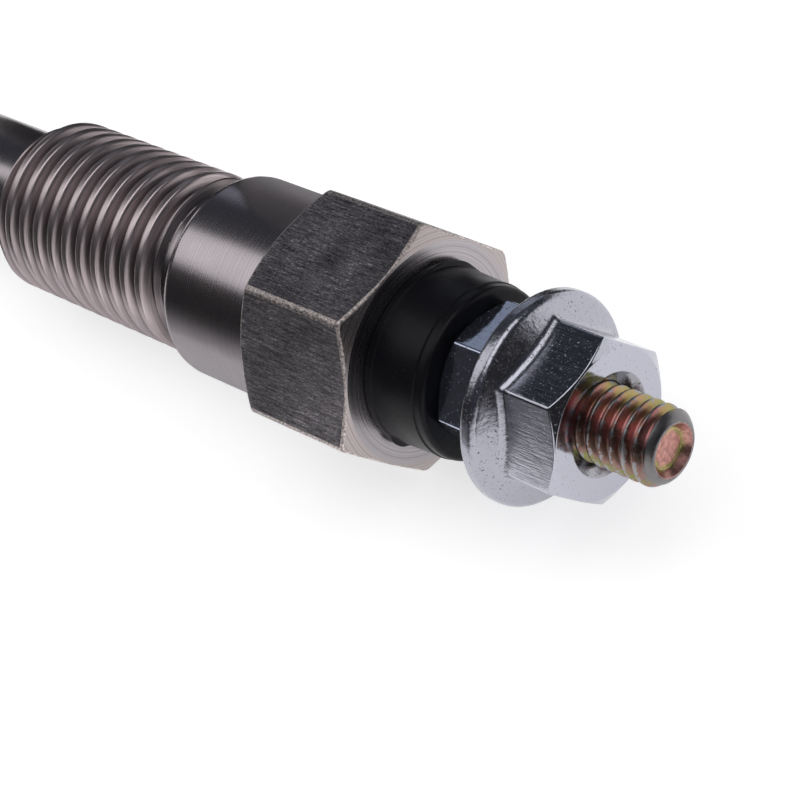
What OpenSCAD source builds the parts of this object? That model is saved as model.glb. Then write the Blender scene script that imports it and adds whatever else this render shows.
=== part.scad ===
// Sheathed-element diesel glow plug with a threaded stud terminal.
// The plug lies along X: the heater tip points to -X and the terminal to +X.
// The origin is on the axis, where the tapered seat meets the nose of the shell.

/* [Body shell] */
// Spanner size of the hexagon, across its flats
hex_af = 12; // [11.6:0.1:14]
// Length of the hexagon, face to face
hex_len = 7.7; // [6:0.1:10]
// Bevel angle on the terminal side of the hexagon
hex_front_bevel = 25; // [15:1:35]
// Bevel angle on the shank side of the hexagon
hex_rear_bevel = 30; // [15:1:35]
// Diameter of the plain shank behind the hexagon
shank_d = 11.2; // [10.4:0.1:11.4]
// Length of the plain shank
shank_len = 6.7; // [4:0.1:10]
// Radius on the shank's edge beside the relief groove
shank_round = 0.7; // [0.2:0.1:1]
// Outside diameter of the engine thread
thread_d = 10; // [9.4:0.1:10.2]
// Length of the engine thread
thread_len = 14.4; // [9:0.1:18]
// Bevel at the lead-in end of the engine thread, measured along the axis
thread_lead = 1; // [0.5:0.1:2]
// Distance from one ridge of the engine thread to the next
thread_pitch = 1.25; // [1:0.05:1.5]
// Angle between the flanks of the engine thread
thread_angle = 60; // [50:1:60]
// Width of the flat along the top of a ridge
thread_crest = 0.15; // [0.1:0.05:0.3]
// Width of the flat along the bottom of a groove
thread_root = 0.25; // [0.1:0.05:0.4]
// Width of the relief groove between the thread and the shank
relief_w = 1.4; // [1:0.1:2]
// Diameter at the bottom of the relief groove
relief_d = 8.6; // [8.2:0.1:9]
// Diameter of the nose ahead of the engine thread
nose_d = 7.2; // [6.6:0.1:8.4]
// Length of the nose, from the seat to the engine thread
nose_len = 10.1; // [8:0.1:16]
// Included angle of the tapered seat
seat_angle = 90; // [60:1:120]
// Diameter of the clear bore around the centre pole
bore_d = 6; // [5.4:0.1:6.4]
// Diameter of the well that takes the ring seal and the bush
well_d = 7.6; // [7.2:0.1:8.2]
// Depth of the well, from the face of the hexagon
well_depth = 6.2; // [5:0.1:7.4]

/* [Heating element] */
// Diameter of the heater sheath
sheath_d = 5; // [4.4:0.1:5.2]
// Wall of the heater sheath
sheath_wall = 0.7; // [0.5:0.05:0.8]
// Length of sheath that stands out of the tapered seat
sheath_reach = 24.6; // [20:0.1:32]
// Length of sheath held inside the shell, from the seat's large end
sheath_grip = 15; // [10:0.1:18]
// Diameter of the coil wire
wire_d = 0.4; // [0.25:0.05:0.45]
// Diameter of both coils, at the middle of the wire
coil_d = 2.3; // [2.1:0.05:2.4]
// Clearance between the heating coil and the round end of the sheath
coil_clear = 0.12; // [0.06:0.01:0.2]
// Number of turns in the heating coil
heating_turns = 12; // [6:1:14]
// Pitch of the heating coil
heating_pitch = 0.75; // [0.6:0.05:0.9]
// Number of turns in the regulating coil
control_turns = 9; // [5:1:11]
// Pitch of the regulating coil
control_pitch = 0.95; // [0.6:0.05:1.1]
// Length of the rubber seal in the mouth of the sheath
sheath_seal_len = 2.5; // [1.5:0.1:4]

/* [Centre pole] */
// Diameter of the pole above the sheath
pole_d = 3.5; // [3:0.1:3.6]
// Diameter of the pole inside the sheath
tail_d = 2.5; // [2:0.1:2.7]
// Length of the pin that carries the regulating coil
pin_len = 2; // [1:0.1:3]
// Outside diameter of the terminal thread
stud_d = 4; // [3.8:0.1:4.4]
// Depth that the terminal thread runs below the face of the hexagon
stud_sink = 2.5; // [1:0.1:3.5]
// Length of stud that stands out of the flange nut
stud_free = 3.9; // [2:0.1:8]
// Bevel at both ends of the terminal thread, measured along the axis
stud_bevel = 0.55; // [0.2:0.05:0.8]
// Diameter of the cup in the end of the stud
cup_d = 2.7; // [2.2:0.1:2.8]
// Diameter of the flat at the bottom of the cup
cup_floor_d = 2.1; // [1.2:0.1:2.1]
// Depth of the cup in the end of the stud
cup_depth = 0.4; // [0.2:0.1:1]
// Width of the rim between the cup and the bevel
cup_rim = 0.1; // [0.05:0.05:0.3]

/* [Insulating bush] */
// Diameter of the bush's collar where it meets the hexagon
collar_d = 9.5; // [9:0.1:10.5]
// Diameter of the collar at its outer end
collar_end_d = 9.1; // [8.6:0.1:9.5]
// Length of the collar
collar_len = 3.8; // [2.5:0.1:6]
// Radius on the collar's outer edge
collar_round = 0.6; // [0.2:0.1:1]

/* [Nuts] */
// Spanner size of the lock nut
lock_af = 6.9; // [6.6:0.1:8]
// Height of the lock nut
lock_h = 3.2; // [2.4:0.1:4]
// Turn of the lock nut about the axis
lock_turn = -17; // [-30:1:30]
// Spanner size of the flange nut
nut_af = 7.8; // [7:0.1:9]
// Height of the flange nut
nut_h = 4.7; // [4:0.1:6]
// Turn of the flange nut about the axis
nut_turn = 1; // [-30:1:30]
// Diameter of the flange
flange_d = 11; // [10.2:0.1:11.8]
// Height of the flange's rim
flange_rim = 0.9; // [0.6:0.1:1.2]
// Radius on both edges of the flange's rim
flange_round = 0.3; // [0.1:0.05:0.3]
// Slope of the flange, from its rim up to the hexagon
flange_slope = 22; // [15:1:30]
// Diameter of the countersink in the outer face of the flange nut
nut_sink_d = 5.3; // [4.8:0.1:6]
// Depth of the countersink
nut_sink_depth = 0.6; // [0.3:0.05:0.8]
// Bevel angle on the corners of both nuts
nut_bevel = 32; // [15:1:40]

/* [Fits] */
// Radial gap between the sheath and the shell, and around packed pieces
press_gap = 0.01; // [0.005:0.005:0.02]
// Radial gap around the bush's spigot and around the seals
slip_gap = 0.04; // [0.02:0.01:0.06]
// Radial gap that stands for the play of the terminal thread
thread_gap = 0.03; // [0.01:0.01:0.05]

/* [Hidden] */
$fn = 96;
// Overlap of joined solids, and reach of a cut past a face
eps = 0.5;
// Diameter of a hexagon's end face, as a share of its size across flats
face_share = 0.98;
// Sides of the coil wire, and steps in each of its turns
wire_sides = 8;
wire_steps = 18;

// Stations along the axis, from the seat to the terminal
thread_x = nose_len;
relief_x = thread_x + thread_len;
shank_x = relief_x + relief_w;
hex_x = shank_x + shank_len;
face_x = hex_x + hex_len;
well_x = face_x - well_depth;
collar_x = face_x + collar_len;
lock_x = collar_x + lock_h;
nut_x = lock_x + nut_h;
tip_x = nut_x + stud_free;

// Grooves of the engine thread, laid out as rings from the relief groove towards the nose
groove_count = floor((thread_len - thread_lead) / thread_pitch);
groove_flank = (thread_pitch - thread_crest - thread_root) / 2;
thread_depth = groove_flank / tan(thread_angle / 2);
groove_points = [
    for (i = [groove_count:-1:1])
        let (low = relief_x - i * thread_pitch + thread_crest / 2, high = low + thread_pitch - thread_crest)
            each [
                [thread_d / 2, low], [thread_d / 2 - thread_depth, low + groove_flank],
                [thread_d / 2 - thread_depth, high - groove_flank], [thread_d / 2, high]
            ]
];

// Seat, sheath and element
seat_r = sheath_d / 2 + press_gap;
seat_len = (nose_d / 2 - seat_r) / tan(seat_angle / 2);
sheath_tip_x = -seat_len - sheath_reach;
sheath_r = sheath_d / 2 - sheath_wall;
dome_x = sheath_tip_x + sheath_d / 2;
seal_x = sheath_grip - sheath_seal_len;
wound_r = coil_d / 2 + wire_d / 2;
coil_in_r = coil_d / 2 - wire_d / 2 - slip_gap;
coil_out_r = wound_r + slip_gap;
heating_x = dome_x - sqrt(pow(sheath_r - coil_clear, 2) - pow(wound_r, 2)) + wire_d / 2;
control_x = heating_x + heating_turns * heating_pitch + slip_gap;
control_end_x = control_x + control_turns * control_pitch;
pin_x = control_end_x - pin_len;
tail_x = control_end_x + wire_d / 2 + slip_gap;

// Pole, seals and bush
stud_x = face_x - stud_sink;
ring_d = (well_d - pole_d) / 2 - 2 * slip_gap;
ring_r = (well_d + pole_d) / 4;
spigot_x = well_x + ring_d + 2 * slip_gap;
spigot_r = well_d / 2 - slip_gap;
bush_bore_r = stud_d / 2 + slip_gap;
nut_bore_r = stud_d / 2 + thread_gap;

// A profile of [radius, station] points turned about the X axis
module turned(points) {
    rotate([0, 90, 0]) rotate_extrude() polygon(points);
}

// A bar about the X axis, from one station to another
module bar(r, from, to) {
    translate([from, 0, 0]) rotate([0, 90, 0]) cylinder(r = r, h = to - from);
}

// A hexagon with a flat facing down, its corners bevelled by an angle at each end
module hex_bar(af, from, to, from_bevel, to_bevel) {
    corner_r = af / sqrt(3);
    face_r = af / 2 * face_share;
    from_drop = (corner_r - face_r) * tan(from_bevel);
    to_drop = (corner_r - face_r) * tan(to_bevel);
    intersection() {
        translate([from, 0, 0]) rotate([0, 90, 0]) rotate([0, 0, 30])
            cylinder(r = corner_r, h = to - from, $fn = 6);
        turned([
            [0, from], [face_r, from], [corner_r, from + from_drop],
            [corner_r, to - to_drop], [face_r, to], [0, to]
        ]);
    }
}

// What is taken off an outer corner at [r, x] to leave a round; side is 1 where the corner faces +X, or -1
module corner_round(r, x, radius, side) {
    rotate([0, 90, 0]) rotate_extrude() difference() {
        translate([r - radius, side > 0 ? x - radius : x - eps]) square([radius + eps, radius + eps]);
        translate([r - radius, x - side * radius]) circle(r = radius);
    }
}

// A round wire wound about the X axis, swept ring by ring
module wire_coil(start, turns, pitch, first_angle) {
    sides = wire_sides;
    steps = turns * wire_steps;
    lean = atan(pitch / (PI * coil_d));
    rings = [
        for (i = [0:steps])
            let (a = first_angle + 360 * turns * i / steps, x = start + turns * pitch * i / steps)
                [
                    for (k = [0:sides - 1])
                        let (
                            t = 360 * k / sides,
                            r = coil_d / 2 + wire_d / 2 * cos(t),
                            along = wire_d / 2 * sin(t) * cos(lean),
                            round = -wire_d / 2 * sin(t) * sin(lean)
                        )
                            [x + along, r * cos(a) - round * sin(a), r * sin(a) + round * cos(a)]
                ]
    ];
    points = [for (ring = rings) for (p = ring) p];
    skin = [
        for (i = [0:steps - 1])
            for (k = [0:sides - 1])
                let (n = (k + 1) % sides, low = i * sides, high = (i + 1) * sides)
                    [low + k, low + n, high + n, high + k]
    ];
    first_cap = [for (k = [0:sides - 1]) sides - 1 - k];
    last_cap = [for (k = [0:sides - 1]) steps * sides + k];
    polyhedron(points, concat(skin, [first_cap, last_cap]), convexity = turns);
}

// Turned steel shell: nose with its seat, engine thread, relief groove, shank and hexagon
module body_shell() {
    color([0.62, 0.6, 0.6]) difference() {
        union() {
            turned([
                [0, -seat_len], [seat_r, -seat_len], [nose_d / 2, 0], [nose_d / 2, thread_x],
                [thread_d / 2, thread_x + thread_lead], each groove_points, [thread_d / 2, relief_x],
                [relief_d / 2, relief_x + (thread_d - relief_d) / 4], [relief_d / 2, shank_x],
                [shank_d / 2, shank_x], [shank_d / 2, hex_x + eps], [0, hex_x + eps]
            ]);
            hex_bar(hex_af, hex_x, face_x, hex_rear_bevel, hex_front_bevel);
        }
        corner_round(shank_d / 2, shank_x, shank_round, -1);
        bar(seat_r, -seat_len - eps, sheath_grip + eps);
        bar(bore_d / 2, sheath_grip, well_x + eps);
        bar(well_d / 2, well_x, face_x + eps);
    }
}

// Tube with a closed round end, pressed into the nose
module heater_sheath() {
    color([0.5, 0.47, 0.45]) difference() {
        union() {
            bar(sheath_d / 2, dome_x, sheath_grip);
            translate([dome_x, 0, 0]) sphere(d = sheath_d);
        }
        bar(sheath_r, dome_x, sheath_grip + eps);
        translate([dome_x, 0, 0]) sphere(r = sheath_r);
    }
}

// Resistance wire in the tip of the sheath
module heating_coil() {
    color([0.35, 0.33, 0.32]) wire_coil(heating_x, heating_turns, heating_pitch, 0);
}

// Nickel wire between the heating coil and the pole, wound on the pole's pin
module control_coil() {
    color([0.72, 0.7, 0.64]) wire_coil(control_x, control_turns, control_pitch, 360 * heating_turns);
}

// Packed powder that fills the sheath, with a channel for the coils and a bore for the pole
module magnesia_fill() {
    fill_r = sheath_r - press_gap;
    color([0.93, 0.92, 0.88]) difference() {
        union() {
            bar(fill_r, dome_x, seal_x);
            translate([dome_x, 0, 0]) sphere(r = fill_r);
        }
        turned([
            [coil_in_r, heating_x - wire_d / 2 - slip_gap], [coil_out_r, heating_x - wire_d / 2 - slip_gap],
            [coil_out_r, tail_x], [coil_in_r, tail_x]
        ]);
        bar(coil_out_r, pin_x - slip_gap, tail_x);
        bar(tail_d / 2 + press_gap, tail_x - press_gap, seal_x + eps);
    }
}

// Rubber plug in the mouth of the sheath, around the pole
module sheath_seal() {
    color([0.15, 0.15, 0.16]) difference() {
        bar(sheath_r - press_gap, seal_x, sheath_grip);
        bar(tail_d / 2 + press_gap, seal_x - eps, sheath_grip + eps);
    }
}

// One steel rod: pin, tail in the sheath, pole in the shell and threaded stud with a cupped end
module centre_pole() {
    color([0.72, 0.66, 0.5]) turned([
        [0, pin_x], [coil_in_r, pin_x], [coil_in_r, tail_x], [tail_d / 2, tail_x],
        [tail_d / 2, sheath_grip + slip_gap], [pole_d / 2, sheath_grip + pole_d / 2],
        [pole_d / 2, stud_x - stud_bevel], [stud_d / 2, stud_x],
        [stud_d / 2, tip_x - stud_bevel], [cup_d / 2 + cup_rim, tip_x],
        [cup_d / 2, tip_x], [cup_floor_d / 2, tip_x - cup_depth], [0, tip_x - cup_depth]
    ]);
}

// Ring seal between the pole and the well
module o_ring() {
    color([0.1, 0.1, 0.1]) translate([well_x + ring_d / 2 + slip_gap, 0, 0]) rotate([0, 90, 0])
        rotate_extrude() translate([ring_r, 0]) circle(d = ring_d);
}

// Moulded bush: a spigot down in the well and a collar on the face of the hexagon
module insulator_bush() {
    color([0.07, 0.07, 0.08]) difference() {
        turned([
            [0, spigot_x], [spigot_r, spigot_x], [spigot_r, face_x], [collar_d / 2, face_x],
            [collar_end_d / 2, collar_x], [0, collar_x]
        ]);
        corner_round(collar_end_d / 2, collar_x, collar_round, 1);
        bar(bush_bore_r, spigot_x - eps, collar_x + eps);
    }
}

// Plain hexagon nut that clamps the bush
module lock_nut() {
    color([0.75, 0.76, 0.8]) rotate([lock_turn, 0, 0]) difference() {
        hex_bar(lock_af, collar_x, lock_x, nut_bevel, nut_bevel);
        bar(nut_bore_r, collar_x - eps, lock_x + eps);
    }
}

// Hexagon nut with a round flange, which clamps the lead to the terminal
module flange_nut() {
    flange_r = flange_d / 2;
    foot_r = nut_af / 2 - eps;
    foot_x = lock_x + flange_rim + (flange_r - foot_r) * tan(flange_slope);
    sink_x = nut_x - nut_sink_depth;
    color([0.8, 0.8, 0.82]) rotate([nut_turn, 0, 0]) difference() {
        union() {
            turned([
                [0, lock_x], [flange_r, lock_x], [flange_r, lock_x + flange_rim],
                [foot_r, foot_x], [0, foot_x]
            ]);
            hex_bar(nut_af, lock_x, nut_x, 0, nut_bevel);
        }
        corner_round(flange_r, lock_x, flange_round, -1);
        corner_round(flange_r, lock_x + flange_rim, flange_round, 1);
        bar(nut_bore_r, lock_x - eps, nut_x + eps);
        turned([
            [0, sink_x], [nut_bore_r, sink_x], [nut_sink_d / 2, nut_x],
            [nut_sink_d / 2, nut_x + eps], [0, nut_x + eps]
        ]);
    }
}

body_shell();
heater_sheath();
heating_coil();
control_coil();
magnesia_fill();
sheath_seal();
centre_pole();
o_ring();
insulator_bush();
lock_nut();
flange_nut();
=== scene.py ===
"""Looks, light and camera for the diesel glow plug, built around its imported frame.

Lengths are in millimetres, and become metres where a mesh, a lamp or the camera is made. The plug's
axis is X, with the terminal at +X. An angle is measured about +X, from straight up (+Z) towards -Y.
A name that ends in _X is a station along the axis, in _R a radius, in _AF a size across flats, in _W
a width and in _H a height.
"""
import math

import bmesh
import bpy
import numpy as np
from mathutils import Matrix, Vector


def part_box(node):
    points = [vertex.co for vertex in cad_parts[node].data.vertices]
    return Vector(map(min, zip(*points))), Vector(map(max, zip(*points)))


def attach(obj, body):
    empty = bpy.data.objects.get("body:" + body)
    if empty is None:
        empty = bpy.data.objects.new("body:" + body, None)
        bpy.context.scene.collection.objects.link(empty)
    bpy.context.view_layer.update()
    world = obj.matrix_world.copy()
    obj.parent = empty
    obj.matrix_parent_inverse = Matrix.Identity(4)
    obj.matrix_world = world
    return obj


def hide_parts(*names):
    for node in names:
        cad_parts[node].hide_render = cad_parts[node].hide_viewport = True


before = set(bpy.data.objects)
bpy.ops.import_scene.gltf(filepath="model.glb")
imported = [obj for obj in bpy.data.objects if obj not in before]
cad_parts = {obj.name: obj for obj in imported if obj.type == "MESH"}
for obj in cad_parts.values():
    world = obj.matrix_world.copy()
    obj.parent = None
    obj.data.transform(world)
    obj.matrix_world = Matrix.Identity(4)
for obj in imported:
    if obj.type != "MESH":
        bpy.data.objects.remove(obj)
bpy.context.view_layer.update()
MM = 0.001
FULL_TURN = math.radians(360)
QUARTER_TURN = math.radians(90)


def ends(node):
    """The first and the last station of a solid along the axis."""
    low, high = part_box(node)
    return low.x / MM, high.x / MM


# Stations along the axis, from the solids
SEAT_X, FACE_X = ends("body_shell")
SHEATH_TIP_X, SHEATH_END_X = ends("heater_sheath")
PIN_X, TIP_X = ends("centre_pole")
SPIGOT_X, COLLAR_X = ends("insulator_bush")
LOCK_X = ends("lock_nut")[1]
NUT_X = ends("flange_nut")[1]

# Shell, with the stations between its ends
THREAD_X = 10.1
RELIEF_X = 24.5
SHANK_X = 25.9
HEX_X = 32.6
WELL_X = 34.1
SEAT_R = 2.51
NOSE_X = 0
NOSE_R = 3.6
NOSE_ROUND = 0.15
THREAD_R = 5.0
THREAD_PITCH = 1.25
THREAD_LEAD = 1.0
# Radius that the thread gains in each millimetre from the relief groove
THREAD_RUNOUT = 1.2
RELIEF_R = 4.3
RELIEF_ROUND = 0.25
SHANK_R = 5.6
SHANK_ROUND = 0.7
SHANK_FOOT_ROUND = 0.2
HEX_AF = 12.0
HEX_CORNER = 0.42
HEX_FRONT_BEVEL = math.radians(25)
HEX_FRONT_ROUND = 0.22
HEX_REAR_BEVEL = math.radians(30)
HEX_REAR_ROUND = 0.15
FACE_ROUND = 0.1
BORE_R = 3.0
WELL_R = 3.8
# Size of the flat face inside a hexagon's bevel, as a share of the size across flats
FACE_SHARE = 0.98

# Sheath
SHEATH_R = 2.5
SHEATH_WALL = 0.7

# Pole and stud
TAIL_X = -6.16
PIN_R = 0.91
TAIL_R = 1.25
TAIL_ROUND = 0.1
POLE_R = 1.75
STUD_X = 37.8
STUD_R = 2.0
STUD_PITCH = 0.7
STUD_BEVEL = 0.55
# Plain length of the stud above the bush, and the radius that its thread then gains in each millimetre
STUD_PLAIN = 0.2
STUD_RUNOUT = 4.0
# How much the bevel at the tip bulges: 1 is straight, and less is rounder
STUD_TIP_POWER = 0.65
CUP_R = 1.35
CUP_RIM_ROUND = 0.05
CUP_FLOOR_R = 1.05
CUP_FLOOR_ROUND = 0.1
CUP_DEPTH = 0.4

# Bush
SPIGOT_R = 3.76
SPIGOT_ROUND = 0.2
COLLAR_R = 4.75
COLLAR_FOOT_ROUND = 0.08
COLLAR_END_R = 4.55
COLLAR_ROUND = 0.6
BUSH_BORE_R = 2.04
# Moulding marks: a step at the foot, a parting line under the rounded edge, and flash at two angles
STEP_W = 0.42
STEP_H = 0.07
STEP_ROUND = 0.06
STEP_FOOT_ROUND = 0.04
PARTING_W = 0.06
PARTING_H = 0.035
PARTING_ROUND = 0.02
FLASH_H = 0.2
# Angle and half width of each flash mark
FLASH = [(math.radians(-46), math.radians(17)), (math.radians(114), math.radians(8))]
# How steeply a flash mark ends: 2 is a bell, and more is squarer
FLASH_POWER = 4

# Nuts
NUT_BORE_R = 2.03
NUT_BEVEL = math.radians(32)
NUT_ROUND = 0.12
LOCK_AF = 6.9
LOCK_CORNER = 0.14
LOCK_TURN = math.radians(-17)
NUT_AF = 7.8
NUT_TURN = math.radians(1)
NUT_CORNER = 0.22
FLANGE_R = 5.5
FLANGE_RIM = 0.9
FLANGE_SLOPE = math.radians(22)
FLANGE_BACK_ROUND = 0.3
FLANGE_RIM_ROUND = 0.45
FLANGE_FILLET = 0.6
SINK_R = 2.65
SINK_DEPTH = 0.6
SINK_ROUND = 0.05

# Thread forms: share of a pitch that is flat at the crest and at the root, depth in pitches, and how
# far the flanks bend into both, from 0 to 1
ENGINE_FORM = (0.28, 0.14, 0.50, 0.45)
STUD_FORM = (0.14, 0.16, 0.54, 0.40)
THREAD_ROOT_R = THREAD_R - ENGINE_FORM[2] * THREAD_PITCH
STUD_ROOT_R = STUD_R - STUD_FORM[2] * STUD_PITCH

# Steps round each piece, and rows in each pitch of a thread
SHELL_STEPS = 144
SHEATH_STEPS = 96
POLE_STEPS = 120
BUSH_STEPS = 180
LOCK_STEPS = 96
NUT_STEPS = 120
ENGINE_ROWS = 22
STUD_ROWS = 26
# Points on the outside and on the inside of the sheath's round end
DOME_POINTS = 19
HOLLOW_POINTS = 13

# Kinds of corner in an outline that aren't rounded
SHARP = 0
ON_CURVE = None
# A sharp corner shades as one within this distance
CREASE = 0.05
# Most of a side that a rounding or a crease may take, and where the row that supports a rounding lies
SIDE_SHARE = 0.42
SUPPORT = 1.12
# Steps in a rounding, on most pieces and where one shows more
ARC_STEPS = 4
FLANGE_ARC_STEPS = 6
COLLAR_ARC_STEPS = 8
# Power of the distance that makes a cone straight
STRAIGHT = 1
# The paint that most of a piece has
MAIN = 0


# Meshes

HEX_SIDES = 6
HEX_STEP = FULL_TURN / HEX_SIDES
# Extra angles near a hexagon's corner
CORNER_REACH = math.radians(6)
CORNER_STEPS = 15
ANGLE_DIGITS = 5
# A rounded corner lies further inside the hexagon's sharp outline than this
CORNER_GAP = 1e-4
# Cosine limit for a corner that is almost straight or folded back
COSINE_LIMIT = 0.9999
# Points nearer than this are one, in metres
WELD = 2e-7


def ring_angles(count, corners=()):
    """Angles once round, both ends included, with more of them near the corners of a hexagon."""
    even = np.linspace(0, FULL_TURN, count + 1)
    beside = np.linspace(-CORNER_REACH, CORNER_REACH, CORNER_STEPS)
    near = [(corner + step) % FULL_TURN for corner in corners for step in beside]
    angles = np.unique(np.round(np.concatenate([even, near]), ANGLE_DIGITS))
    angles[-1] = FULL_TURN
    return angles


def hex_corners(turn):
    """Angles of a hexagon's corners, when one of its flats faces up at no turn."""
    return [turn + HEX_STEP * (side + 0.5) for side in range(HEX_SIDES)]


def hex_radius(angles, af, corner, turn=0.0):
    """Distance from the axis to a hexagon whose corners are rounded by a radius."""
    flat = af / 2
    half_step = HEX_STEP / 2
    away = np.abs((angles - turn) % HEX_STEP - half_step)
    centre = (flat - corner) / math.cos(half_step)
    touch = half_step - math.atan(centre * math.sin(half_step) / flat)
    inside = np.maximum(corner**2 - (centre * np.sin(away)) ** 2, 0)
    on_corner = centre * np.cos(away) + np.sqrt(inside)
    on_flat = flat / np.cos(half_step - away)
    return np.where(away < touch, on_corner, on_flat)


def corner_paint(angles, af, corner, turn, flat, edge):
    """One paint on a hexagon's flats and another on its rounded corners, for each step round."""
    middle = (angles[1:] + angles[:-1]) / 2
    off_flat = (middle - turn + HEX_STEP / 2) % HEX_STEP - HEX_STEP / 2
    true_flat = af / 2 / np.cos(off_flat)
    return np.where(hex_radius(middle, af, corner, turn) < true_flat - CORNER_GAP, edge, flat)


def length_of(way):
    """Lengths of a list of ways, one for each angle."""
    return np.linalg.norm(way, axis=1, keepdims=True)


def towards(here, there):
    """A point close to one place on the way to another, for each angle."""
    way = there - here
    return here + way * np.minimum(CREASE / length_of(way), SIDE_SHARE)


def place_of(corner, angles):
    """Station and radius of a corner of an outline, for each angle."""
    spread_out = np.broadcast_arrays(np.asarray(corner[0], float), np.asarray(corner[1], float), angles)
    return np.stack(spread_out[:2], -1)


def rounded(angles, corners, steps=ARC_STEPS):
    """Rows of an outline.

    A corner is (station, radius from the axis, rounding, paint of what follows, paint of the rounding
    if it differs). Instead of a rounding it may be SHARP, or ON_CURVE for a point on a curve.
    """
    places = [place_of(corner, angles) for corner in corners]
    rows = []
    for i, corner in enumerate(corners):
        here = places[i]
        rounding = corner[2]
        paint = corner[3]
        arc_paint = corner[-1]
        if rounding in (SHARP, ON_CURVE):
            if rounding == SHARP and i > 0:
                rows.append((towards(here, places[i - 1]), rows[-1][1]))
            rows.append((here, paint))
            if rounding == SHARP and i < len(corners) - 1:
                rows.append((towards(here, places[i + 1]), paint))
            continue
        back = places[i - 1] - here
        ahead = places[i + 1] - here
        shorter = np.minimum(length_of(back), length_of(ahead))
        back = back / length_of(back)
        ahead = ahead / length_of(ahead)
        cosine = np.clip((back * ahead).sum(1, keepdims=True), -COSINE_LIMIT, COSINE_LIMIT)
        half = np.arccos(cosine) / 2
        reach = np.minimum(rounding / np.tan(half), SIDE_SHARE * shorter)
        middle = (back + ahead) / length_of(back + ahead)
        centre = here + middle * reach / np.cos(half)
        first = here + back * reach - centre
        last = here + ahead * reach - centre
        span = math.pi - 2 * half
        rows.append((here + back * reach * SUPPORT, rows[-1][1]))
        for k in np.linspace(0, 1, steps + 1):
            arm = (np.sin((1 - k) * span) * first + np.sin(k * span) * last) / np.sin(span)
            rows.append((centre + arm, arc_paint if k < 1 else paint))
        rows.append((here + ahead * reach * SUPPORT, paint))
    return rows


def threaded(angles, start, end, pitch, crest_r, form, start_cone, end_cone, per_pitch):
    """Rows that follow a right-hand helix from one station to another.

    Each cone is (radius at that end, radius gained in the first millimetre away from it, power of the
    distance).
    """
    crest, root, depth, softness = form
    turns = angles / FULL_TURN
    step = pitch / per_pitch
    count = math.ceil((end - start + pitch) / step)
    rows = []
    for j in range(count + 1):
        x = np.clip(start + j * step + pitch * (turns - 1), start, end)
        place = (x / pitch - turns) % 1.0
        away = np.abs(place - 0.5) * 2
        straight = np.clip((away - crest) / (1 - crest - root), 0, 1)
        smooth = straight * straight * (3 - 2 * straight)
        r = crest_r - depth * pitch * ((1 - softness) * straight + softness * smooth)
        for (end_r, gain, power), distance in ((start_cone, x - start), (end_cone, end - x)):
            r = np.minimum(r, end_r + gain * distance**power)
        rows.append((np.stack([x, r], -1), MAIN))
    return rows


def skin(name, angles, rows, paints):
    """A closed piece from rows of (station, radius) pairs, the last joined to the first."""
    grid = np.array([place for place, _ in rows])
    station = grid[..., 0]
    radius = grid[..., 1]
    points = np.stack([station, -radius * np.sin(angles), radius * np.cos(angles)], -1) * MM
    row_count, columns = station.shape
    row = np.arange(row_count)[:, None]
    column = np.arange(columns - 1)[None]
    low = row * columns + column
    high = np.roll(row, -1) * columns + column
    quads = np.stack([low, high, high + 1, low + 1], -1).reshape(-1, 4)
    paint = np.array([np.broadcast_to(p, columns - 1) for _, p in rows]).reshape(-1)
    mesh = bpy.data.meshes.new(name)
    mesh.from_pydata(points.reshape(-1, 3).tolist(), [], quads.tolist())
    mesh.polygons.foreach_set("material_index", paint.astype(np.int32))
    for p in paints:
        mesh.materials.append(p)
    bm = bmesh.new()
    bm.from_mesh(mesh)
    bmesh.ops.remove_doubles(bm, verts=bm.verts, dist=WELD)
    bmesh.ops.dissolve_degenerate(bm, edges=bm.edges, dist=WELD)
    bmesh.ops.recalc_face_normals(bm, faces=bm.faces)
    for face in bm.faces:
        face.smooth = True
    bm.to_mesh(mesh)
    bm.free()
    piece = bpy.data.objects.new(name, mesh)
    bpy.context.scene.collection.objects.link(piece)
    return piece


def stands_for(piece, node):
    """The piece takes the place of a CAD node, and of its finish."""
    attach(piece, "root")
    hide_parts(node)


# Shader nodes

# Settings of a shader's Metallic input
METAL = 1.0
NOT_METAL = 0.0
# Sockets of a colour mix, which have the same names as those for numbers
MIX_FIRST = 6
MIX_SECOND = 7
MIX_RESULT = 2


def wire(tree, node, inputs):
    """Sets a node's inputs: a socket is linked, and anything else is a constant."""
    for key, value in inputs.items():
        if isinstance(value, bpy.types.NodeSocket):
            tree.links.new(value, node.inputs[key])
        else:
            node.inputs[key].default_value = value


def put(tree, kind, inputs, **settings):
    """Adds a node with these inputs and settings."""
    node = tree.nodes.new(kind)
    for key, value in settings.items():
        setattr(node, key, value)
    wire(tree, node, inputs)
    return node


def painted(name):
    """A new material, its node tree and its one shader."""
    m = bpy.data.materials.new(name)
    m.use_nodes = True
    return m, m.node_tree, m.node_tree.nodes["Principled BSDF"]


def reckon(tree, operation, *values):
    """The result of one sum on numbers and sockets."""
    return put(tree, "ShaderNodeMath", dict(enumerate(values)), operation=operation).outputs[0]


def place_mm(tree, stretch=(1, 1, 1)):
    """Where a point is on the object, in millimetres, stretched along each axis."""
    coords = put(tree, "ShaderNodeTexCoord", {})
    scale = [s / MM for s in stretch]
    return put(tree, "ShaderNodeMapping", {"Vector": coords.outputs["Object"], "Scale": scale}).outputs[0]


def axis_distance(tree):
    """How far a point is from the plug's axis, in millimetres."""
    across = place_mm(tree, (0, 1, 1))
    return put(tree, "ShaderNodeVectorMath", {0: across}, operation="LENGTH").outputs["Value"]


def station_along(tree):
    """A point's station along the axis, in millimetres."""
    return put(tree, "ShaderNodeSeparateXYZ", {0: place_mm(tree)}).outputs["X"]


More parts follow.
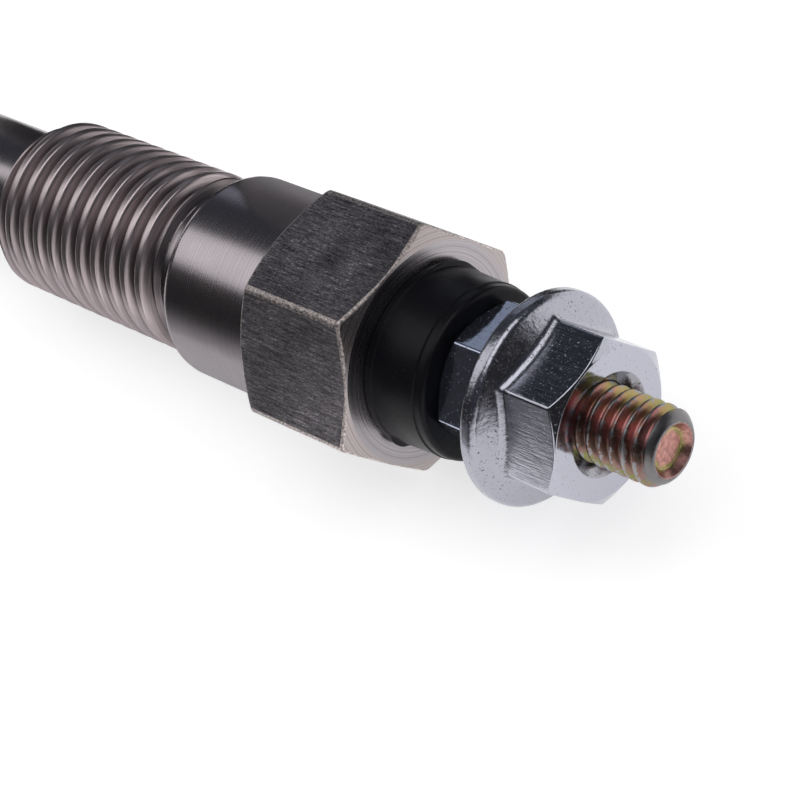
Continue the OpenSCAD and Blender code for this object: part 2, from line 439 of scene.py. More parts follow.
def turn_about_axis(tree):
    """A point's angle about the axis, from 0 to 1 once round, starting underneath."""
    parts = put(tree, "ShaderNodeSeparateXYZ", {0: place_mm(tree, (1, -1, 1))})
    angle = reckon(tree, "ARCTAN2", parts.outputs["Y"], parts.outputs["Z"])
    return share_between(tree, angle, -math.pi, math.pi)


def noise(tree, vector, scale, detail=3.0, rough=0.55):
    """Cloudy values about 0.5, which change from place to place."""
    inputs = {"Vector": vector, "Scale": scale, "Detail": detail, "Roughness": rough}
    return put(tree, "ShaderNodeTexNoise", inputs).outputs["Fac"]


def lines(tree, along, scale):
    """Noise that changes only along one measure, as tool marks do."""
    inputs = {"W": along, "Scale": scale, "Detail": 4.0}
    return put(tree, "ShaderNodeTexNoise", inputs, noise_dimensions="1D").outputs["Fac"]


def ramp(tree, value, stops):
    """Colours or grey levels laid out over a value from 0 to 1, given as (value, colour) in order."""
    node = put(tree, "ShaderNodeValToRGB", {"Fac": value})
    band = node.color_ramp
    for at, _ in stops[2:]:
        band.elements.new(at)
    for element, (at, color) in zip(band.elements, stops):
        element.position = at
        element.color = (*color, 1) if isinstance(color, tuple) else (color, color, color, 1)
    return node.outputs["Color"]


def share_between(tree, value, low, high):
    """How far a value has come from one limit to another, from 0 to 1."""
    inputs = {"Value": value, "From Min": low, "From Max": high}
    return put(tree, "ShaderNodeMapRange", inputs).outputs["Result"]


def spread(tree, share, low, high):
    """A share from 0 to 1 laid out between two limits."""
    inputs = {"Value": share, "To Min": low, "To Max": high}
    return put(tree, "ShaderNodeMapRange", inputs).outputs["Result"]


def blend(tree, factor, first, second, kind="MIX"):
    """Two colours mixed, or multiplied."""
    inputs = {"Factor": factor, MIX_FIRST: first, MIX_SECOND: second}
    return put(tree, "ShaderNodeMix", inputs, data_type="RGBA", blend_type=kind).outputs[MIX_RESULT]


def bump(tree, height, depth):
    """Normals of a surface that is uneven by a depth in millimetres."""
    inputs = {"Height": height, "Strength": 1.0, "Distance": depth * MM}
    return put(tree, "ShaderNodeBump", inputs).outputs["Normal"]


# Materials

def turned_steel():
    """Nickel-plated turned steel, with fine lines round the axis.

    The thread is browner and duller than the shank, and its grooves are darkened towards the root as
    painted shade.
    """
    thread_color = (0.75, 0.635, 0.645)
    shank_color = (0.53, 0.478, 0.505)
    # Share of the thread's colour that is left at the root, as painted shade
    groove_shade_level = 0.26
    # Half the length over which the looks of the thread pass into those of the shank and the nose
    fade = 0.5
    m, tree, shader = painted("turned_nickel")
    along = station_along(tree)
    marks = lines(tree, along, scale=18.0)
    half_length = (RELIEF_X - THREAD_X) / 2
    from_middle = reckon(tree, "ABSOLUTE", reckon(tree, "SUBTRACT", along, THREAD_X + half_length))
    past_thread = share_between(tree, from_middle, half_length - fade, half_length + fade)
    tint = noise(tree, place_mm(tree), scale=0.5)
    mean = reckon(tree, "MULTIPLY", reckon(tree, "ADD", past_thread, tint), 0.5)
    color = ramp(tree, mean, [(0.2, thread_color), (0.75, shank_color)])
    # Painted shade in the thread's grooves: the colour darkens from the crest down to the root, and the
    # tool marks are multiplied in
    up_flank = share_between(tree, axis_distance(tree), THREAD_ROOT_R, THREAD_R)
    groove_painted_shade = reckon(tree, "MAXIMUM", spread(tree, up_flank, groove_shade_level, 1.0), past_thread)
    cuts = ramp(tree, marks, [(0.3, 0.66), (0.7, 1.0)])
    shade = reckon(tree, "MULTIPLY", cuts, groove_painted_shade)
    dull = spread(tree, past_thread, 0.25, 0.16)
    fine = spread(tree, marks, 0.0, 0.14)
    wire(tree, shader, {
        "Base Color": blend(tree, 1.0, color, shade, "MULTIPLY"),
        "Metallic": METAL,
        "Roughness": reckon(tree, "ADD", dull, fine),
        "Normal": bump(tree, marks, depth=0.001),
    })
    return m


def drawn_steel():
    """The dark flats of the hexagon, with the streaks and specks of drawn bar."""
    hollow = (0.026, 0.024, 0.029)
    body = (0.26, 0.24, 0.26)
    rubbed_bright = (0.86, 0.79, 0.82)
    m, tree, shader = painted("drawn_flat")
    streaks = noise(tree, place_mm(tree, (0.3, 3.4, 3.4)), scale=2.6, detail=6.0, rough=0.78)
    specks = noise(tree, place_mm(tree, (0.9, 2.8, 2.8)), scale=6.0, detail=4.0, rough=0.78)
    clouds = noise(tree, place_mm(tree, (1, 0.8, 0.8)), scale=0.32, detail=2.0)
    rubbed = reckon(tree, "MULTIPLY", streaks, spread(tree, clouds, 0.62, 1.38))
    grain = reckon(tree, "MULTIPLY", rubbed, specks)
    wire(tree, shader, {
        "Base Color": ramp(tree, grain, [(0.15, hollow), (0.31, body), (0.42, rubbed_bright)]),
        "Metallic": METAL,
        "Roughness": spread(tree, streaks, 0.26, 0.5),
        "Normal": bump(tree, grain, depth=0.035),
    })
    return m


def cut_edge():
    """Bright metal where the plating has broken along an edge."""
    nick = (0.16, 0.145, 0.14)
    bright = (0.84, 0.74, 0.71)
    m, tree, shader = painted("worn_edge")
    nicks = noise(tree, place_mm(tree), scale=7.0, detail=5.0, rough=0.75)
    wire(tree, shader, {
        "Base Color": ramp(tree, nicks, [(0.38, nick), (0.6, bright)]),
        "Metallic": METAL,
        "Roughness": 0.35,
        "Normal": bump(tree, nicks, depth=0.04),
    })
    return m


def faced_steel(name, dark, light):
    """A face turned on the hexagon, with fine rings left by the tool."""
    m, tree, shader = painted(name)
    rings = lines(tree, axis_distance(tree), scale=10.0)
    wire(tree, shader, {
        "Base Color": ramp(tree, rings, [(0.3, dark), (0.65, light)]),
        "Metallic": METAL,
        "Roughness": spread(tree, rings, 0.18, 0.34),
        "Normal": bump(tree, rings, depth=0.004),
    })
    return m


def nut_plating(name, bright, smooth, rough, dent, haze=0.0, line_color=None):
    """Bright plating with pits and dents, whose roughness lies between two limits.

    Haze is how much of the metal's shine is lost, and more of it is lost where the plating is scuffed.
    A flat with a line colour keeps the lines of drawn bar.
    """
    pit_color = (0.14, 0.13, 0.13)
    scuffed_haze = 6 * haze
    m, tree, shader = painted(name)
    uneven = noise(tree, place_mm(tree), scale=2.2, detail=4.0, rough=0.6)
    pits = noise(tree, place_mm(tree), scale=8.0, detail=3.0, rough=0.6)
    height = reckon(tree, "ADD", uneven, ramp(tree, pits, [(0.28, 0.0), (0.36, 1.0)]))
    scratches = noise(tree, place_mm(tree, (1, 1.4, 1.4)), scale=7.0, detail=4.0, rough=0.7)
    scuffs = ramp(tree, scratches, [(0.58, 0.0), (0.74, 1.0)])
    if line_color:
        uneven = noise(tree, place_mm(tree, (0.2, 3, 3)), scale=3.6, detail=5.0, rough=0.65)
        color = ramp(tree, uneven, [(0.36, line_color), (0.60, bright)])
        height = reckon(tree, "ADD", uneven, height)
    else:
        color = ramp(tree, pits, [(0.28, pit_color), (0.36, bright)])
    wire(tree, shader, {
        "Base Color": color,
        "Metallic": spread(tree, scuffs, 1 - haze, 1 - scuffed_haze),
        "Roughness": spread(tree, uneven, smooth, rough),
        "Normal": bump(tree, height, dent),
    })
    return m


def passivated():
    """Yellow passivation over zinc, worn grey on the crests and bare at the tip.

    Its film is green, yellow, red or brown by the angle about the axis and the place on the thread. Red
    lies on the band where the highlight falls and brown on the band in shade: painted highlight and painted
    shade laid over the film's own colours.
    """
    green = (0.27, 0.28, 0.09)
    dark_green = (0.24, 0.26, 0.085)
    yellow = (0.42, 0.31, 0.13)
    red = (0.50, 0.225, 0.215)
    pink = (0.30, 0.175, 0.155)
    brown = (0.165, 0.108, 0.085)
    worn_crest = (0.33, 0.316, 0.322, 1)
    bare = (0.21, 0.2, 0.205, 1)
    # Limits of the wear on the crests, as a distance from the axis with the noise added to it
    wear_starts = 2.445
    wear_ends = 2.515
    # The film ends within this distance of the tip, with the noise added to the station
    ragged = 0.1
    m, tree, shader = painted("yellow_passivation_and_painted_light")
    along = station_along(tree)
    turn = turn_about_axis(tree)
    pitches = reckon(tree, "DIVIDE", along, STUD_PITCH)
    past_crest = reckon(tree, "FRACT", reckon(tree, "SUBTRACT", pitches, turn))
    cloud = noise(tree, place_mm(tree), scale=1.4, detail=4.0, rough=0.6)
    shift = spread(tree, cloud, -0.12, 0.12)
    drift = reckon(tree, "ADD", shift, spread(tree, past_crest, 0.08, -0.08))
    film = reckon(tree, "ADD", turn, drift)
    # Colours by angle about the axis: the red band is a painted highlight and the brown band a painted
    # shade
    color = ramp(tree, film, [
        (0.0, red), (0.2, brown), (0.34, green), (0.44, yellow), (0.52, red), (0.60, red),
        (0.66, brown), (0.73, brown), (0.79, pink), (0.85, dark_green), (0.91, pink), (1.0, red)])
    wear = noise(tree, place_mm(tree), scale=3.0, detail=4.0)
    out = reckon(tree, "ADD", axis_distance(tree), wear)
    on_crest = share_between(tree, out, wear_starts, wear_ends)
    at_tip = share_between(tree, reckon(tree, "ADD", along, wear), TIP_X - ragged, TIP_X + ragged)
    wire(tree, shader, {
        "Base Color": blend(tree, at_tip, blend(tree, on_crest, color, worn_crest), bare),
        "Metallic": METAL,
        "Roughness": spread(tree, wear, 0.26, 0.44),
        "Normal": bump(tree, wear, depth=0.015),
    })
    return m


def passivated_cup():
    """The cup in the end of the stud: salmon pink, with a green tide mark round its floor, and darker at
    its rim as painted shade.
    """
    pink = (0.62, 0.31, 0.265)
    green = (0.42, 0.43, 0.14)
    dull_pink = (0.56, 0.28, 0.24)
    shaded_rim = (0.46, 0.27, 0.26)
    past_rim = 0.2
    m, tree, shader = painted("cup_passivation")
    cloud = noise(tree, place_mm(tree), scale=1.8, detail=4.0, rough=0.6)
    reach = reckon(tree, "ADD", axis_distance(tree), spread(tree, cloud, -0.3, 0.3))
    share = share_between(tree, reach, 0.0, CUP_R + past_rim)
    # The darker colour at the rim is painted shade
    film = ramp(tree, share, [(0.5, pink), (0.62, green), (0.74, dull_pink), (1.0, shaded_rim)])
    spots = noise(tree, place_mm(tree), scale=5.0, detail=4.0, rough=0.65)
    shade = ramp(tree, spots, [(0.36, 0.55), (0.6, 1.0)])
    wire(tree, shader, {
        "Base Color": blend(tree, 1.0, film, shade, "MULTIPLY"),
        "Metallic": METAL,
        "Roughness": 0.35,
        "Normal": bump(tree, cloud, depth=0.02),
    })
    return m


def bare_tip():
    """Grey metal where the film has rubbed off the end of the stud."""
    dark = (0.13, 0.12, 0.12)
    light = (0.28, 0.263, 0.267)
    m, tree, shader = painted("bare_tip")
    rub = noise(tree, place_mm(tree), scale=4.0, detail=4.0)
    wire(tree, shader, {
        "Base Color": ramp(tree, rub, [(0.35, dark), (0.65, light)]),
        "Metallic": METAL,
        "Roughness": 0.34,
        "Normal": bump(tree, rub, depth=0.01),
    })
    return m


def moulded_black():
    """Black moulded resin with a soft sheen and a little dust."""
    black = (0.005, 0.005, 0.007)
    dusty = (0.06, 0.06, 0.062)
    m, tree, shader = painted("bush_resin")
    skin_marks = noise(tree, place_mm(tree), scale=1.2, detail=5.0, rough=0.6)
    dust = noise(tree, place_mm(tree), scale=9.0, detail=2.0, rough=0.5)
    wire(tree, shader, {
        "Base Color": ramp(tree, dust, [(0.72, black), (0.8, dusty)]),
        "Roughness": spread(tree, skin_marks, 0.26, 0.42),
        "Specular IOR Level": 0.15,
        "Normal": bump(tree, skin_marks, depth=0.02),
    })
    return m


def sheath_alloy():
    """Ground heat-resisting alloy, with fine lines round the axis."""
    dark = (0.36, 0.33, 0.31)
    light = (0.50, 0.47, 0.45)
    m, tree, shader = painted("ground_alloy")
    marks = lines(tree, station_along(tree), scale=12.0)
    wire(tree, shader, {
        "Base Color": ramp(tree, marks, [(0.3, dark), (0.7, light)]),
        "Metallic": METAL,
        "Roughness": spread(tree, marks, 0.26, 0.42),
        "Normal": bump(tree, marks, depth=0.005),
    })
    return m


def grained(name, dark, light, metallic, roughness):
    """A plain grained finish for a piece that is sealed inside."""
    m, tree, shader = painted(name)
    grain = noise(tree, place_mm(tree), scale=4.0, detail=4.0)
    wire(tree, shader, {
        "Base Color": ramp(tree, grain, [(0.35, dark), (0.65, light)]),
        "Metallic": metallic,
        "Roughness": roughness,
        "Normal": bump(tree, grain, depth=0.01),
    })
    return m


# Pieces

def make_shell():
    """The shell: nose, engine thread, relief groove, shank, hexagon, and the well and bore inside."""
    # Paints after the main one, in the order of their list
    flat, edge, face, bevel = 1, 2, 3, 4
    paints = [
        turned_steel(),
        drawn_steel(),
        cut_edge(),
        faced_steel("faced_end", dark=(0.335, 0.306, 0.32), light=(0.47, 0.437, 0.455)),
        faced_steel("bevelled_end", dark=(0.30, 0.255, 0.25), light=(0.48, 0.43, 0.425)),
    ]
    angles = ring_angles(SHELL_STEPS, hex_corners(turn=0))
    hexagon = hex_radius(angles, HEX_AF, HEX_CORNER)
    face_r = HEX_AF / 2 * FACE_SHARE
    rear_edge = HEX_X + (hexagon - face_r) * math.tan(HEX_REAR_BEVEL)
    front_edge = FACE_X - (hexagon - face_r) * math.tan(HEX_FRONT_BEVEL)
    sides = corner_paint(angles, HEX_AF, HEX_CORNER, turn=0, flat=flat, edge=edge)
    lead_cone = (NOSE_R, (THREAD_R - NOSE_R) / THREAD_LEAD, STRAIGHT)
    relief_cone = (RELIEF_R, THREAD_RUNOUT, STRAIGHT)
    rows = rounded(angles, [
        (SEAT_X, SEAT_R, SHARP, MAIN),
        (NOSE_X, NOSE_R, NOSE_ROUND, MAIN),
        (THREAD_X, NOSE_R, SHARP, MAIN),
    ])
    rows += threaded(angles, THREAD_X, RELIEF_X, THREAD_PITCH, THREAD_R, ENGINE_FORM,
                     lead_cone, relief_cone, ENGINE_ROWS)
    rows += rounded(angles, [
        (RELIEF_X, RELIEF_R, SHARP, MAIN),
        (SHANK_X, RELIEF_R, RELIEF_ROUND, MAIN),
        (SHANK_X, SHANK_R, SHANK_ROUND, MAIN),
        (HEX_X, SHANK_R, SHANK_FOOT_ROUND, MAIN),
        (HEX_X, face_r, FACE_ROUND, MAIN),
        (rear_edge, hexagon, HEX_REAR_ROUND, sides, edge),
        (front_edge, hexagon, HEX_FRONT_ROUND, bevel, edge),
        (FACE_X, face_r, FACE_ROUND, face),
        (FACE_X, WELL_R, FACE_ROUND, MAIN),
        (WELL_X, WELL_R, SHARP, MAIN),
        (WELL_X, BORE_R, SHARP, MAIN),
        (SHEATH_END_X, BORE_R, SHARP, MAIN),
        (SHEATH_END_X, SEAT_R, SHARP, MAIN),
        (SEAT_X, SEAT_R, SHARP, MAIN),
    ])
    stands_for(skin("shell", angles, rows, paints), "body_shell")


def make_sheath():
    """The sheath: a tube whose closed end is round outside and inside."""
    angles = ring_angles(SHEATH_STEPS)
    centre_x = SHEATH_TIP_X + SHEATH_R
    inner_r = SHEATH_R - SHEATH_WALL
    dome = [(centre_x - SHEATH_R * math.cos(a), SHEATH_R * math.sin(a), ON_CURVE, MAIN)
            for a in np.linspace(0, QUARTER_TURN, DOME_POINTS)]
    mouth = [(SHEATH_END_X, SHEATH_R, SHARP, MAIN), (SHEATH_END_X, inner_r, SHARP, MAIN)]
    hollow = [(centre_x - inner_r * math.cos(a), inner_r * math.sin(a), ON_CURVE, MAIN)
              for a in np.linspace(QUARTER_TURN, 0, HOLLOW_POINTS)]
    rows = rounded(angles, dome + mouth + hollow)
    stands_for(skin("sheath", angles, rows, [sheath_alloy()]), "heater_sheath")


def make_pole():
    """The pole, with the pin and the tail inside the sheath, and the threaded stud with its cup."""
    # Paints after the main one, in the order of their list
    tip, cup = 1, 2
    angles = ring_angles(POLE_STEPS)
    thread_start = COLLAR_X + STUD_PLAIN
    tip_r = STUD_R - STUD_BEVEL
    start_cone = (STUD_ROOT_R, STUD_RUNOUT, STRAIGHT)
    tip_cone = (tip_r, STUD_BEVEL ** (1 - STUD_TIP_POWER), STUD_TIP_POWER)
    rows = rounded(angles, [
        (PIN_X, 0, SHARP, MAIN),
        (PIN_X, PIN_R, TAIL_ROUND, MAIN),
        (TAIL_X, PIN_R, SHARP, MAIN),
        (TAIL_X, TAIL_R, TAIL_ROUND, MAIN),
        (SHEATH_END_X, TAIL_R, SHARP, MAIN),
        (SHEATH_END_X + POLE_R, POLE_R, SHARP, MAIN),
        (STUD_X - STUD_BEVEL, POLE_R, SHARP, MAIN),
        (STUD_X, STUD_R, SHARP, MAIN),
        (thread_start, STUD_R, SHARP, MAIN),
    ])
    rows += threaded(angles, thread_start, TIP_X, STUD_PITCH, STUD_R, STUD_FORM,
                     start_cone, tip_cone, STUD_ROWS)
    rows += rounded(angles, [
        (TIP_X, tip_r, SHARP, tip),
        (TIP_X, CUP_R, CUP_RIM_ROUND, cup),
        (TIP_X - CUP_DEPTH, CUP_FLOOR_R, CUP_FLOOR_ROUND, cup),
        (TIP_X - CUP_DEPTH, 0, SHARP, cup),
    ])
    pole = skin("pole", angles, rows, [passivated(), bare_tip(), passivated_cup()])
    stands_for(pole, "centre_pole")


def flash_height(angles):
    """Height of the flash that the mould left at some angles."""
    height = 0
    for at, width in FLASH:
        away = (angles - at + math.pi) % FULL_TURN - math.pi
        height = height + FLASH_H * np.exp(-((away / width) ** FLASH_POWER))
    return height


def make_bush():
    """The bush, with the step, the parting line and the two flash marks that its mould left."""
    angles = ring_angles(BUSH_STEPS)
    taper = (COLLAR_R - COLLAR_END_R) / (COLLAR_X - FACE_X)
    step_x = FACE_X + STEP_W
    parting_x = COLLAR_X - COLLAR_ROUND - PARTING_W
    parting_r = COLLAR_R - taper * (parting_x - FACE_X)
    rows = rounded(angles, [
        (SPIGOT_X, BUSH_BORE_R, SHARP, MAIN),
        (SPIGOT_X, SPIGOT_R, SPIGOT_ROUND, MAIN),
        (FACE_X, SPIGOT_R, SHARP, MAIN),
        (FACE_X, COLLAR_R, COLLAR_FOOT_ROUND, MAIN),
        (step_x, COLLAR_R + flash_height(angles), STEP_ROUND, MAIN),
        (step_x + STEP_H, COLLAR_R - STEP_H, STEP_FOOT_ROUND, MAIN),
        (parting_x - PARTING_W, parting_r, PARTING_ROUND, MAIN),
        (parting_x, parting_r + PARTING_H, PARTING_ROUND, MAIN),
        (parting_x + PARTING_W, parting_r - PARTING_H, PARTING_ROUND, MAIN),
        (COLLAR_X, COLLAR_END_R - PARTING_H, COLLAR_ROUND, MAIN),
        (COLLAR_X, BUSH_BORE_R, SHARP, MAIN),
    ], COLLAR_ARC_STEPS)
    stands_for(skin("bush", angles, rows, [moulded_black()]), "insulator_bush")


def make_lock_nut():
    """The lock nut, with both its faces bevelled."""
    plating = nut_plating("lock_plating", (0.46, 0.50, 0.62), smooth=0.03, rough=0.14, dent=0.010,
                          haze=0.022)
    angles = ring_angles(LOCK_STEPS, hex_corners(LOCK_TURN))
    hexagon = hex_radius(angles, LOCK_AF, LOCK_CORNER, LOCK_TURN)
    face_r = LOCK_AF / 2 * FACE_SHARE
    drop = (hexagon - face_r) * math.tan(NUT_BEVEL)
    rows = rounded(angles, [
        (COLLAR_X, NUT_BORE_R, SHARP, MAIN),
        (COLLAR_X, face_r, NUT_ROUND, MAIN),
        (COLLAR_X + drop, hexagon, NUT_ROUND, MAIN),
        (LOCK_X - drop, hexagon, NUT_ROUND, MAIN),
        (LOCK_X, face_r, NUT_ROUND, MAIN),
        (LOCK_X, NUT_BORE_R, SHARP, MAIN),
    ])
    stands_for(skin("clamp_nut", angles, rows, [plating]), "lock_nut")


def make_flange_nut():
    """The flange nut: a sloped flange, drawn flats, and a bright face with a countersink whose darker
    colour is painted shade.
    """
    # Paints after the main one, in the order of their list
    drawn, mirror, sink_shade = 1, 2, 3
    paints = [
        nut_plating("flange_plating", (0.415, 0.415, 0.472), smooth=0.12, rough=0.32, dent=0.026),
        nut_plating("drawn_plating", (0.56, 0.565, 0.64), smooth=0.05, rough=0.20, dent=0.010,
                    line_color=(0.35, 0.35, 0.395)),
        nut_plating("mirror_plating", (0.475, 0.48, 0.543), smooth=0.03, rough=0.12, dent=0.006),
        # The countersink's darker colour is painted shade in the recess
        nut_plating("sink_painted_shade", (0.36, 0.36, 0.385), smooth=0.08, rough=0.24, dent=0.012),
    ]
    angles = ring_angles(NUT_STEPS, hex_corners(NUT_TURN))
    hexagon = hex_radius(angles, NUT_AF, NUT_CORNER, NUT_TURN)
    face_r = NUT_AF / 2 * FACE_SHARE
    rim_x = LOCK_X + FLANGE_RIM
    foot_x = rim_x + (FLANGE_R - hexagon) * math.tan(FLANGE_SLOPE)
    edge_x = NUT_X - (hexagon - face_r) * math.tan(NUT_BEVEL)
    rows = rounded(angles, [
        (LOCK_X, NUT_BORE_R, SHARP, MAIN),
        (LOCK_X, FLANGE_R, FLANGE_BACK_ROUND, MAIN),
        (rim_x, FLANGE_R, FLANGE_RIM_ROUND, MAIN),
        (foot_x, hexagon, FLANGE_FILLET, drawn, MAIN),
        (edge_x, hexagon, NUT_ROUND, mirror),
        (NUT_X, face_r, NUT_ROUND, mirror),
        (NUT_X, SINK_R, SINK_ROUND, sink_shade),
        (NUT_X - SINK_DEPTH, NUT_BORE_R, SHARP, sink_shade),
    ], FLANGE_ARC_STEPS)
    stands_for(skin("terminal_nut", angles, rows, paints), "flange_nut")


def finish_sealed_pieces():
    """Gives the pieces that are sealed inside a finish each, and leaves their form."""
    # Name of the finish, dark colour, light colour, metal or not, roughness
    finishes = {
        "heating_coil": ("heating_wire", (0.20, 0.19, 0.18), (0.34, 0.32, 0.31), METAL, 0.45),
        "control_coil": ("control_wire", (0.50, 0.48, 0.43), (0.68, 0.66, 0.60), METAL, 0.3),
        "magnesia_fill": ("packed_powder", (0.74, 0.73, 0.69), (0.86, 0.85, 0.81), NOT_METAL, 0.9),
        "sheath_seal": ("seal_rubber", (0.02, 0.02, 0.02), (0.04, 0.04, 0.04), NOT_METAL, 0.7),
        "o_ring": ("ring_rubber", (0.02, 0.02, 0.02), (0.035, 0.035, 0.035), NOT_METAL, 0.6),
    }
    for node, finish in finishes.items():
        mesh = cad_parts[node].data
        mesh.materials.clear()
        mesh.materials.append(grained(*finish))


# Floor, light and camera

# The plug leans on its hexagon and on the lead-in end of its thread
REST_X = HEX_X
REST_Z = -HEX_AF / 2
LEAN = math.atan((HEX_AF / 2 - THREAD_R) / (HEX_X - THREAD_X - THREAD_LEAD))
FLOOR_PLACE = Matrix.Translation(Vector((REST_X, 0, REST_Z)) * MM) @ Matrix.Rotation(LEAN, 4, "Y")
FLOOR_SIZE = 4000
# The floor's grey as it lights the plug, then as it is seen: its glow, and the grey that takes shadows
FLOOR_GREY = 0.8
FLOOR_GLOW = 0.66
FLOOR_SHADE = 0.5
# Light from all round, and the surround as it is seen: white below the first height, dim above the second
AMBIENT = (0.5, 0.5, 0.52, 1)
SURROUND = [(0.1, (1.0, 1.0, 1.0)), (0.24, (0.035, 0.04, 0.05))]

# The point that the camera, the lamps and the flags face
TARGET = Vector((40.1, -2.78, -0.62))
CAMERA_AZIMUTH = math.radians(-26.68)
CAMERA_ELEVATION = math.radians(44.62)
CAMERA_ROLL = math.radians(31.38)
CAMERA_DISTANCE = 125
CAMERA_NEAR = 5
LENS = 112.5
SENSOR = 36

# Greys of the cards, as (share of the height, grey) from foot to top
SHANK_GREYS = [(0.0, 0.9), (0.22, 0.6), (0.38, 0.14), (0.55, 0.015)]
THREAD_GREYS = [(0.0, 0.6), (0.1, 0.5), (0.24, 0.16), (0.40, 0.015)]
BACK_GREYS = [(0.45, 0.5), (0.65, 0.2), (1.0, 0.08)]
FLAG_GREY = 0.03
NUT_GREY = 0.40
SHEET_GREY = 0.8
# Place of the cards that stand in front, and how far a sheet lies above the floor
FRONT_Y = -17
FRONT_UP = (-6, 14)
SHEET_LIFT = 0.05


def seen_directly(tree):
    """1 for rays from the camera, or that come by way of a mirror or glass."""
    path = put(tree, "ShaderNodeLightPath", {})
    seen_or_mirrored = reckon(tree, "MAXIMUM", path.outputs["Is Camera Ray"], path.outputs["Is Glossy Ray"])
    return reckon(tree, "MAXIMUM", seen_or_mirrored, path.outputs["Is Transmission Ray"])


def one_or_other(tree, hidden, seen):
    """One shader for light that falls on the scene, and another for what is seen."""
    inputs = {0: seen_directly(tree), 1: hidden.outputs[0], 2: seen.outputs[0]}
    return put(tree, "ShaderNodeMixShader", inputs).outputs[0]


def make_floor():
    """A plain white floor that keeps the plug's shadow."""
    bpy.ops.mesh.primitive_plane_add(size=FLOOR_SIZE * MM)
    floor = bpy.context.object
    floor.name = "floor"
    floor.matrix_world = FLOOR_PLACE
    m = bpy.data.materials.new("floor")
    m.use_nodes = True
    tree = m.node_tree
    tree.nodes.clear()
    plain = put(tree, "ShaderNodeBsdfDiffuse", {"Color": (FLOOR_GREY, FLOOR_GREY, FLOOR_GREY, 1)})
    glow = put(tree, "ShaderNodeEmission", {"Color": (1, 1, 1, 1), "Strength": FLOOR_GLOW})
    shade = put(tree, "ShaderNodeBsdfDiffuse", {"Color": (FLOOR_SHADE, FLOOR_SHADE, FLOOR_SHADE, 1)})
    lit = put(tree, "ShaderNodeAddShader", {0: glow.outputs[0], 1: shade.outputs[0]})
    put(tree, "ShaderNodeOutputMaterial", {"Surface": one_or_other(tree, plain, lit)})
    floor.data.materials.append(m)


def make_world():
    """A white surround up to just above the horizon, and a dim studio overhead."""
    world = bpy.data.worlds.new("studio")
    bpy.context.scene.world = world
    world.use_nodes = True
    tree = world.node_tree
    tree.nodes.clear()
    coords = put(tree, "ShaderNodeTexCoord", {})
    height = put(tree, "ShaderNodeSeparateXYZ", {0: coords.outputs["Generated"]}).outputs["Z"]
    seen = put(tree, "ShaderNodeBackground", {"Color": ramp(tree, height, SURROUND), "Strength": 1.0})
    ambient = put(tree, "ShaderNodeBackground", {"Color": AMBIENT, "Strength": 1.0})
    put(tree, "ShaderNodeOutputWorld", {"Surface": one_or_other(tree, ambient, seen)})


def facing(direction):
    """The turn of a lamp, a card or the camera that looks back along a direction."""
    return direction.to_track_quat("Z", "Y")


def softbox(name, direction, distance, width, height, radiance, tint=(1, 1, 1)):
    """A rectangular lamp that faces the plug, with the brightness that a mirror would show."""
    towards_lamp = Vector(direction).normalized()
    lamp = bpy.data.lights.new(name, "AREA")
    lamp.shape = "RECTANGLE"
    lamp.size = width * MM
    lamp.size_y = height * MM
    lamp.energy = math.pi * lamp.size * lamp.size_y * radiance
    lamp.color = tint
    holder = bpy.data.objects.new(name, lamp)
    bpy.context.scene.collection.objects.link(holder)
    holder.location = (TARGET + towards_lamp * distance) * MM
    holder.rotation_euler = facing(towards_lamp).to_euler()


def card(name, place, width, height, greys):
    """A card beside the plug that shows only in its reflections; its greys run from its foot to its top."""
    bpy.ops.mesh.primitive_plane_add(size=1)
    sheet = bpy.context.object
    sheet.name = name
    sheet.matrix_world = place @ Matrix.Diagonal((width * MM, height * MM, 1, 1))
    m, tree, shader = painted(name)
    coords = put(tree, "ShaderNodeTexCoord", {})
    share = put(tree, "ShaderNodeSeparateXYZ", {0: coords.outputs["Generated"]}).outputs["Y"]
    wire(tree, shader, {"Base Color": ramp(tree, share, greys), "Roughness": 1.0})
    sheet.data.materials.append(m)
    sheet.visible_camera = False
    sheet.visible_shadow = False
    sheet.visible_diffuse = False


def all_over(grey):
    """The same grey from foot to top."""
    return [(0.0, grey), (1.0, grey)]


def middle_of(span):
    """The middle between two limits."""
    return (span[0] + span[1]) / 2


def size_of(span):
    """The distance between two limits."""
    return span[1] - span[0]


def flag(name, direction, distance, width, height):
    """A black card that faces the plug from one direction."""
    towards_card = Vector(direction).normalized()
    place = Matrix.Translation((TARGET + towards_card * distance) * MM)
    card(name, place @ facing(towards_card).to_matrix().to_4x4(), width, height, all_over(FLAG_GREY))


def front_card(name, along, up, greys):
    """A card that stands close by in front, parallel to the plug, between two stations and two heights."""
    place = Matrix.Translation(Vector((middle_of(along), FRONT_Y, middle_of(up))) * MM)
    stand = Matrix.Rotation(QUARTER_TURN, 4, "X")
    card(name, place @ stand, size_of(along), size_of(up), greys)


def cross_card(name, x, across, up, greys):
    """A card that stands across the axis, between two distances beside it and two heights."""
    place = Matrix.Translation(Vector((x, middle_of(across), middle_of(up))) * MM)
    stand = Matrix.Rotation(QUARTER_TURN, 4, "Z") @ Matrix.Rotation(QUARTER_TURN, 4, "X")
    card(name, place @ stand, size_of(across), size_of(up), greys)


def floor_sheet(name, along, across, grey):
    """A sheet that lies on the floor, between two stations and two distances beside the axis."""
    shift = Matrix.Translation(Vector((middle_of(along) - REST_X, middle_of(across), SHEET_LIFT)) * MM)
    card(name, FLOOR_PLACE @ shift, size_of(along), size_of(across), all_over(grey))


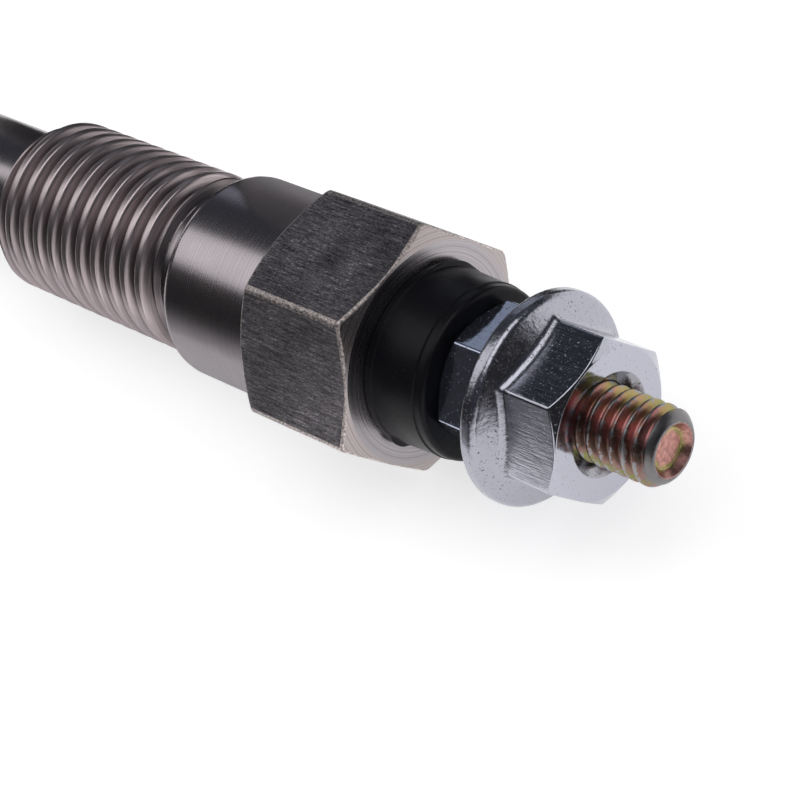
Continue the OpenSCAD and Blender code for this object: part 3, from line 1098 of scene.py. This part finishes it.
def make_lights():
    """Three soft lamps, and the cards that the metal shows."""
    softbox("key", (-0.63, -0.225, 0.76), distance=400, width=225, height=550, radiance=1.05)
    softbox("overhead", (0.3, 0.10, 0.94), distance=500, width=500, height=300, radiance=1.5)
    softbox("back", (-0.57, 0.74, 0.36), distance=500, width=220, height=200, radiance=0.36,
            tint=(0.80, 0.87, 1.0))
    flag("left_flag", (-0.62, -0.75, 0.175), distance=70, width=170, height=63.5)
    front_card("shank_card", along=(10, 23), up=FRONT_UP, greys=SHANK_GREYS)
    front_card("thread_card", along=(-8, 10), up=FRONT_UP, greys=THREAD_GREYS)
    cross_card("back_card", x=24, across=(5.2, 14), up=(-5.5, 12), greys=BACK_GREYS)
    floor_sheet("front_sheet", along=(-8, 32), across=(-18, -3), grey=SHEET_GREY)
    front_card("nut_flag", along=(35, 45), up=(-1, 5), greys=all_over(NUT_GREY))
    flag("right_flag", (0.98, 0.055, 0.0), distance=42, width=41, height=30)
    flag("back_flag", (-0.60, 0.80, 0.06), distance=40, width=60, height=20)


def make_camera():
    """The camera, at the angle from which the photograph was taken."""
    level = math.cos(CAMERA_ELEVATION)
    out = Vector((level * math.cos(CAMERA_AZIMUTH),
                  level * math.sin(CAMERA_AZIMUTH),
                  math.sin(CAMERA_ELEVATION)))
    data = bpy.data.cameras.new("camera")
    data.lens = LENS
    data.sensor_width = SENSOR
    data.clip_start = CAMERA_NEAR * MM
    camera = bpy.data.objects.new("camera", data)
    bpy.context.scene.collection.objects.link(camera)
    place = Matrix.Translation((TARGET + out * CAMERA_DISTANCE) * MM)
    roll = Matrix.Rotation(-CAMERA_ROLL, 4, "Z")
    camera.matrix_world = place @ facing(out).to_matrix().to_4x4() @ roll
    bpy.context.scene.camera = camera


make_shell()
make_sheath()
make_pole()
make_bush()
make_lock_nut()
make_flange_nut()
finish_sealed_pieces()
make_floor()
make_world()
make_lights()
make_camera()
bpy.context.scene.view_settings.view_transform = "Standard"

bpy.context.view_layer.update()
